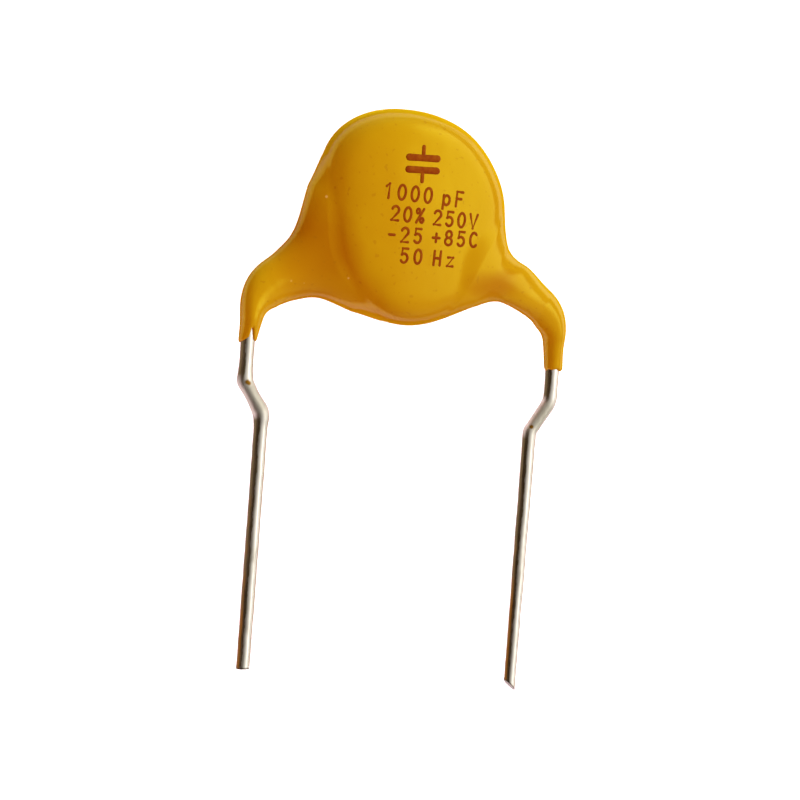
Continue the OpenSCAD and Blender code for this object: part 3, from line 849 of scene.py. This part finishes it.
def wire_tree():
    """Geometry tree that sweeps a round wire along a path and cuts its tip at a slant."""
    tree, nodes, given, result = new_tree("Bent Wire", (
        ("Radius", "NodeSocketFloat"), ("Tip", "NodeSocketFloat"), ("Long Side", "NodeSocketFloat"),
        ("Slant", "NodeSocketFloat"), ("Lump Scale", "NodeSocketFloat"), ("Lump Height", "NodeSocketFloat"),
        ("Finish", "NodeSocketMaterial")))
    wire = nodes.sweep(given["Geometry"], nodes.stored("share"), given["Radius"], 40)
    normal = nodes.add("GeometryNodeInputNormal").outputs[0]
    # The side across the camera's view places the tin's painted reflections
    wire = nodes.store(wire, "side", nodes.dot(normal, VIEW_RIGHT))
    where = nodes.add("GeometryNodeInputPosition").outputs[0]
    lumps = nodes.math("SUBTRACT", nodes.noise(where, given["Lump Scale"], 2, 0.5), 0.5)
    swell = nodes.scale(normal, nodes.math("MULTIPLY", lumps, given["Lump Height"]))
    wire = nodes.add("GeometryNodeSetPosition", {"Geometry": wire, "Offset": swell}).outputs[0]
    place = nodes.split(where)
    at_tip = nodes.add("FunctionNodeCompare", {0: place["Y"], 1: given["Tip"]}, operation="LESS_THAN")
    across = nodes.math("SUBTRACT", given["Long Side"], place["X"])
    sheared = nodes.span(place["Y"], given["Tip"], nodes.math("ADD", given["Tip"], CUT_REACH), 1.0, 0.0)
    rise = nodes.math("MULTIPLY", nodes.math("MULTIPLY", across, given["Slant"]), sheared)
    shift = nodes.add("ShaderNodeCombineXYZ", {"Y": rise}).outputs[0]
    wire = nodes.store(wire, "cut", at_tip.outputs[0])
    wire = nodes.add("GeometryNodeSetPosition", {"Geometry": wire, "Offset": shift}).outputs[0]
    nodes.finish(wire, given["Finish"], result)
    return tree


class CAPACITOR_OT_leads(bpy.types.Operator):
    """Make both bent leads as round wires swept along their paths"""

    bl_idname = "capacitor.leads"
    bl_label = "Kinked Leads"

    def execute(self, context):
        settings = context.scene.capacitor_leads
        tin = tin_material(settings)
        tree = wire_tree()
        for name, lead in (("front_wire", FRONT), ("back_wire", BACK)):
            path = to_metres([tuple(p) for p in wire_path(lead)])
            wire = piece(name, path, (), tin, [(i, i + 1) for i in range(len(path) - 1)])
            for attribute, value_at in (("share", lead.thickness), ("slanted", lead.slanted)):
                values = [value_at(Vector(p)) for p in (path - np.array(CENTRE)) / MM]
                give_attribute(wire, attribute, values)
            apply_tree(wire, tree, {
                "Radius": settings.wire_d / 2,
                "Tip": path[-1][1] + CUT_DEPTH,
                "Long Side": path[-1][0] + lead.side * settings.wire_d / 2,
                "Slant": lead.side * math.tan(math.radians(lead.cut)),
                "Lump Scale": 900.0,
                "Lump Height": settings.lump * 2,
                "Finish": tin,
            }, tin)
            wire.data.shade_smooth()
            wire.data.set_sharp_from_angle(angle=math.radians(40))
            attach(wire, BODY)
            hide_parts(name.replace("wire", "lead"))
        return {"FINISHED"}


# ------------------------------------------------------------------- the print


def bow(x, y, rx, ry, start, end, steps=14):
    """Points along part of an ellipse, by angles in degrees."""
    angles = [math.radians(start + (end - start) * i / steps) for i in range(steps + 1)]
    return [(x + rx * math.cos(a), y + ry * math.sin(a)) for a in angles]


# Strokes of each sign, in heights of a capital
SIGNS = {
    "0": [bow(0.3, 0.5, 0.27, 0.5, 0, 360, 20)],
    "1": [[(0.1, 0.8), (0.32, 1.0), (0.32, 0.0)]],
    "2": [bow(0.29, 0.73, 0.26, 0.27, 165, -35) + [(0.04, 0.0), (0.57, 0.0)]],
    "5": [[(0.54, 1.0), (0.12, 1.0), (0.08, 0.56)] + bow(0.28, 0.32, 0.27, 0.32, 130, -145)],
    "8": [bow(0.3, 0.76, 0.22, 0.24, 0, 360, 18), bow(0.3, 0.26, 0.27, 0.26, 0, 360, 18)],
    "p": [[(0.06, 0.66), (0.06, -0.28)], bow(0.3, 0.33, 0.24, 0.33, 0, 360, 18)],
    "F": [[(0.54, 1.0), (0.07, 1.0), (0.07, 0.0)], [(0.07, 0.52), (0.45, 0.52)]],
    "V": [[(0.0, 1.0), (0.3, 0.0), (0.6, 1.0)]],
    "C": [bow(0.33, 0.5, 0.29, 0.5, 48, 312, 18)],
    "H": [[(0.05, 0.0), (0.05, 1.0)], [(0.55, 0.0), (0.55, 1.0)], [(0.05, 0.5), (0.55, 0.5)]],
    "z": [[(0.1, 0.62), (0.52, 0.62), (0.08, 0.0), (0.54, 0.0)]],
    "%": [[(0.56, 1.0), (0.04, 0.0)], bow(0.13, 0.82, 0.12, 0.16, 0, 360, 12),
          bow(0.47, 0.18, 0.12, 0.16, 0, 360, 12)],
    "-": [[(0.08, 0.45), (0.5, 0.45)]],
    "+": [[(0.3, 0.75), (0.3, 0.15)], [(0.03, 0.45), (0.57, 0.45)]],
    " ": [],
}

# Lines of print: text, left and right end of its foot line, height of a capital
PRINT_LINES = (
    ("1000 pF", (-2.05, 0.63), (1.6, 0.43), 0.6),
    ("20% 250V", (-1.67, -0.27), (2.34, -0.44), 0.58),
    ("-25 +85C", (-1.74, -1.14), (2.42, -1.2), 0.58),
    ("50 Hz", (-1.1, -2.0), (1.4, -2.06), 0.58),
)
# Width of a sign in heights of a capital, and of a space in widths of a sign's place
SIGN_WIDTH = 0.6
SPACE_WIDTH = 0.45

# Circuit symbol: its middle, half length and half gap of the plates, length of each wire
SYMBOL_MIDDLE = (-0.38, 2.1)
PLATE_HALF = 0.66
PLATE_GAP = 0.25
SYMBOL_WIRE = 0.46
# Width of its plates and wires, in widths of a stroke
PLATE_SHARE = 2.5
WIRE_SHARE = 1.5

# How far over the coat the print is drawn, and how far down the coat is looked for
PRINT_LIFT = 1 * MM
PRINT_REACH = 6 * MM


def print_strokes():
    """Strokes of all the lines of print, as (points, width share), on the face in millimetres."""
    strokes = []
    for text, left, right, height in PRINT_LINES:
        left, right = Vector(left), Vector(right)
        length = (right - left).length
        out = (right - left) / length
        up = Vector((-out.y, out.x))
        pitch = (length - SIGN_WIDTH * height) / (len(text) - 1 - text.count(" ") * (1 - SPACE_WIDTH))
        start = 0.0
        for sign in text:
            for stroke in SIGNS[sign]:
                strokes.append(([left + out * (start + x * height) + up * (y * height)
                                 for x, y in stroke], 1.0))
            start += pitch * (SPACE_WIDTH if sign == " " else 1)
    return strokes


def symbol_strokes():
    """Strokes of the circuit symbol for a capacitor: two plates with a wire to each."""
    half = Vector((PLATE_HALF, 0))
    strokes = []
    for way in (-1, 1):
        plate = Vector(SYMBOL_MIDDLE) + Vector((0, way * PLATE_GAP))
        strokes.append(([plate - half, plate + half], PLATE_SHARE))
        strokes.append(([plate, plate + Vector((0, way * SYMBOL_WIRE))], WIRE_SHARE))
    return strokes


def ink_tree():
    """Geometry tree that lays round-ended strokes on the coat and flattens them to a film."""
    tree, nodes, given, result = new_tree("Ink Strokes", (
        ("Coat", "NodeSocketObject"), ("Width", "NodeSocketFloat"), ("Thickness", "NodeSocketFloat"),
        ("Height", "NodeSocketFloat"), ("Finish", "NodeSocketMaterial")))
    half = nodes.math("MULTIPLY", given["Width"], 0.5)
    share = nodes.stored("share")
    line = nodes.sweep(given["Geometry"], share, half, 10)
    dot = nodes.add("GeometryNodeMeshUVSphere", {"Segments": 10, "Rings": 6, "Radius": half}).outputs[0]
    dots = nodes.add("GeometryNodeInstanceOnPoints",
                     {"Points": given["Geometry"], "Instance": dot, "Scale": share}).outputs[0]
    joined = nodes.add("GeometryNodeJoinGeometry")
    real_dots = nodes.add("GeometryNodeRealizeInstances", {"Geometry": dots}).outputs[0]
    tree.links.new(real_dots, joined.inputs[0])
    tree.links.new(line, joined.inputs[0])
    where = nodes.add("GeometryNodeInputPosition").outputs[0]
    coat = nodes.add("GeometryNodeObjectInfo", {"Object": given["Coat"]}, transform_space="RELATIVE")
    ray = nodes.add("GeometryNodeRaycast", {
        "Target Geometry": coat.outputs["Geometry"],
        "Source Position": nodes.vector("ADD", where, (0, 0, PRINT_LIFT)),
        "Ray Direction": (0, 0, -1), "Ray Length": PRINT_REACH})
    proud = nodes.math("SUBTRACT", nodes.split(where)["Z"], given["Height"])
    flat = nodes.math("MULTIPLY", nodes.math("DIVIDE", proud, half), given["Thickness"])
    shift = nodes.scale(ray.outputs["Hit Normal"], flat)
    target = nodes.vector("ADD", ray.outputs["Hit Position"], shift)
    laid = nodes.add("GeometryNodeSetPosition", {"Geometry": joined.outputs[0], "Position": target})
    nodes.finish(laid.outputs[0], given["Finish"], result)
    return tree


class CAPACITOR_OT_print(bpy.types.Operator):
    """Print plain values and a circuit symbol on the front of the coat"""

    bl_idname = "capacitor.print"
    bl_label = "Ink Print"

    def execute(self, context):
        settings = context.scene.capacitor_print
        height = CAD_HIGH.z + PRINT_LIFT
        points, edges, shares = [], [], []
        for stroke, share in print_strokes() + symbol_strokes():
            first = len(points)
            points += [(CENTRE.x + p.x * MM, CENTRE.y + p.y * MM, height) for p in stroke]
            edges += [(i, i + 1) for i in range(first, len(points) - 1)]
            shares += [share] * len(stroke)
        material = ink_material(settings)
        ink = piece("print", points, (), material, edges)
        give_attribute(ink, "share", shares)
        apply_tree(ink, ink_tree(), {
            "Coat": bpy.data.objects["coat"], "Width": settings.stroke,
            "Thickness": settings.thickness, "Height": height, "Finish": material}, material)
        if not len(ink.data.polygons):
            raise RuntimeError("the print came out empty")
        ink.data.shade_smooth()
        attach(ink, BODY)
        return {"FINISHED"}


class CAPACITOR_OT_inner(bpy.types.Operator):
    """Give the ceramic disc, its electrodes and the solder inside the coat their finishes"""

    bl_idname = "capacitor.inner"
    bl_label = "Inner Pieces"

    def execute(self, context):
        ceramic, silver, solder = map(inner_material, INNER_FINISHES)
        finishes = {
            "ceramic_disc": ceramic, "front_electrode": silver, "back_electrode": silver,
            "front_solder_joint": solder, "back_solder_joint": solder,
        }
        for node, material in finishes.items():
            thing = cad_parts[node]
            thing.data.materials.clear()
            thing.data.materials.append(material)
        return {"FINISHED"}


# ------------------------------------------------------------------- the stage


# Lamps: place and side in millimetres, and colour
LAMPS = {
    "wash": ((150, 150, 110), 150, (1, 1, 1)),
    "warm_fill": ((-105, -135, 175), 160, (1.0, 0.3, 0.7)),
}

# Place of the disc's centre right of and over the picture's middle, in millimetres
PICTURE_OFFSET = (0.568, 7.767)

# The sky's dark and bright colours, the way to its bright side, and the lean from dark to bright
SKY_DARK = (0.07, 0.05, 0.03, 1)
SKY_BRIGHT = (1.0, 1.0, 0.93, 1)
BRIGHT_WAY = (0.917, 0.4, 0.02)
BRIGHT_LEAN = (-0.55, 0.1)
# Turns about Y from straight up towards the right, in radians: a dark gap with its half width
# inside and out, the edge of the bright box, and where the box grows dimmer
GAP_TURN = 1.03
GAP_HALF = (0.13, 0.18)
BOX_TURN = (0.4, 0.56)
BOX_DIM_TURN = (1.1, 1.2)
# Foot and head of the bright box along Y, as soft edges
BOX_FOOT = (-0.27, -0.07)
BOX_HEAD = (0.5, 0.7)
# What is left of the light in the gap and in the dim part, and the strength outside and inside the box
GAP_SHARE = 0.15
DIM_SHARE = 0.6
SKY_STRENGTH = (1.05, 4.0)


def aim(thing, target):
    """Points a lamp at a target, from where it stands."""
    thing.rotation_euler = (target - thing.location).to_track_quat("-Z", "Y").to_euler()


def add_lamp(name, power):
    """A square lamp that lights the part, with no shadow and no reflection of its own."""
    place, side, colour = LAMPS[name]
    lamp = bpy.data.lights.new(name, "AREA")
    lamp.shape = "RECTANGLE"
    lamp.size = side * MM
    lamp.size_y = side * MM
    lamp.energy = power
    lamp.color = colour
    lamp.use_shadow = False
    thing = bpy.data.objects.new(name, lamp)
    thing.location = Vector(place) * MM
    thing.visible_glossy = False
    bpy.context.scene.collection.objects.link(thing)
    aim(thing, Vector((0, 0, DISC.half * MM)))


def add_camera(settings):
    """Camera that looks down on the part from its left, turned to the part's lean."""
    a, b, roll = settings.azimuth, settings.elevation, settings.roll
    towards = Vector((-math.sin(a) * math.cos(b), math.sin(b), math.cos(a) * math.cos(b)))
    level = Vector((math.cos(a), 0, math.sin(a)))
    upright = towards.cross(level)
    right = level * math.cos(roll) + upright * math.sin(roll)
    up = upright * math.cos(roll) - level * math.sin(roll)
    offset = Vector(PICTURE_OFFSET) * MM
    lens = bpy.data.cameras.new("camera")
    lens.sensor_width = 36
    lens.lens = lens.sensor_width * settings.distance / settings.frame_width
    lens.clip_start = 0.01
    lens.clip_end = 10
    camera = bpy.data.objects.new("camera", lens)
    place = CENTRE + towards * settings.distance - right * offset.x - up * offset.y
    turn = Matrix((right, up, towards)).transposed().to_4x4()
    camera.matrix_world = Matrix.Translation(place) @ turn
    bpy.context.scene.collection.objects.link(camera)
    bpy.context.scene.camera = camera


def sky():
    """Soft surroundings: dark low on the left, bright on the right, with a brighter box and a dark gap."""
    world = bpy.data.worlds.new("studio")
    world.use_nodes = True
    nodes = Nodes(world.node_tree)
    way = nodes.add("ShaderNodeTexCoord").outputs["Generated"]
    lean = nodes.dot(way, Vector(BRIGHT_WAY).normalized())
    parts = nodes.split(way)
    turn = nodes.math("ARCTAN2", parts["X"], parts["Z"])
    beside_gap = nodes.span(nodes.math("ABSOLUTE", nodes.math("SUBTRACT", turn, GAP_TURN)), *GAP_HALF)
    bright = nodes.math("MULTIPLY", nodes.span(lean, *BRIGHT_LEAN),
                        nodes.span(beside_gap, 0, 1, GAP_SHARE, 1.0))
    tone = nodes.mix(bright, SKY_DARK, SKY_BRIGHT)
    box = nodes.math("MULTIPLY", nodes.span(turn, *BOX_TURN), beside_gap)
    for edge in (nodes.span(turn, *BOX_DIM_TURN, 1.0, DIM_SHARE), nodes.span(parts["Y"], *BOX_FOOT),
                 nodes.span(parts["Y"], *BOX_HEAD, 1.0, 0.0)):
        box = nodes.math("MULTIPLY", box, edge)
    nodes.give(world.node_tree.nodes["Background"], {
        "Color": tone, "Strength": nodes.span(box, 0, 1, *SKY_STRENGTH)})
    bpy.context.scene.world = world


class CAPACITOR_OT_stage(bpy.types.Operator):
    """Lay the pale floor, and set up the soft lights and the camera"""

    bl_idname = "capacitor.stage"
    bl_label = "Floor, Lights and Camera"

    def execute(self, context):
        settings = context.scene.capacitor_stage
        half = 400 * MM
        corners = [(-half, -half, 0), (half, -half, 0), (half, half, 0), (-half, half, 0)]
        floor = piece("floor", corners, [(0, 1, 2, 3)], floor_material())
        add_lamp("wash", settings.wash_power)
        add_lamp("warm_fill", settings.fill_power)
        sky()
        add_camera(settings)
        context.scene.view_settings.view_transform = "Standard"
        return {"FINISHED"}


class CAPACITOR_PT_panel(bpy.types.Panel):
    """Buttons for each piece of the capacitor"""

    bl_label = "Ceramic Disc Capacitor"
    bl_idname = "CAPACITOR_PT_panel"
    bl_space_type = "VIEW_3D"
    bl_region_type = "UI"
    bl_category = "Capacitor"

    def draw(self, context):
        for operator in OPERATORS:
            self.layout.operator(operator.bl_idname)
        for settings in SETTINGS:
            box = self.layout.box()
            group = getattr(context.scene, settings)
            for name in group.__annotations__:
                box.prop(group, name)


SETTINGS = {
    "capacitor_coat": CoatSettings,
    "capacitor_leads": LeadSettings,
    "capacitor_print": PrintSettings,
    "capacitor_stage": StageSettings,
}
OPERATORS = (CAPACITOR_OT_coat, CAPACITOR_OT_leads, CAPACITOR_OT_print, CAPACITOR_OT_inner,
             CAPACITOR_OT_stage)
CLASSES = (*SETTINGS.values(), *OPERATORS, CAPACITOR_PT_panel)


def register():
    for cls in CLASSES:
        bpy.utils.register_class(cls)
    for name, cls in SETTINGS.items():
        setattr(bpy.types.Scene, name, bpy.props.PointerProperty(type=cls))


def unregister():
    for name in SETTINGS:
        delattr(bpy.types.Scene, name)
    for cls in reversed(CLASSES):
        bpy.utils.unregister_class(cls)


def main():
    """Builds every piece in order."""
    register()
    bpy.ops.capacitor.coat()
    bpy.ops.capacitor.leads()
    bpy.ops.capacitor.print()
    bpy.ops.capacitor.inner()
    bpy.ops.capacitor.stage()


if __name__ == "__main__":
    main()
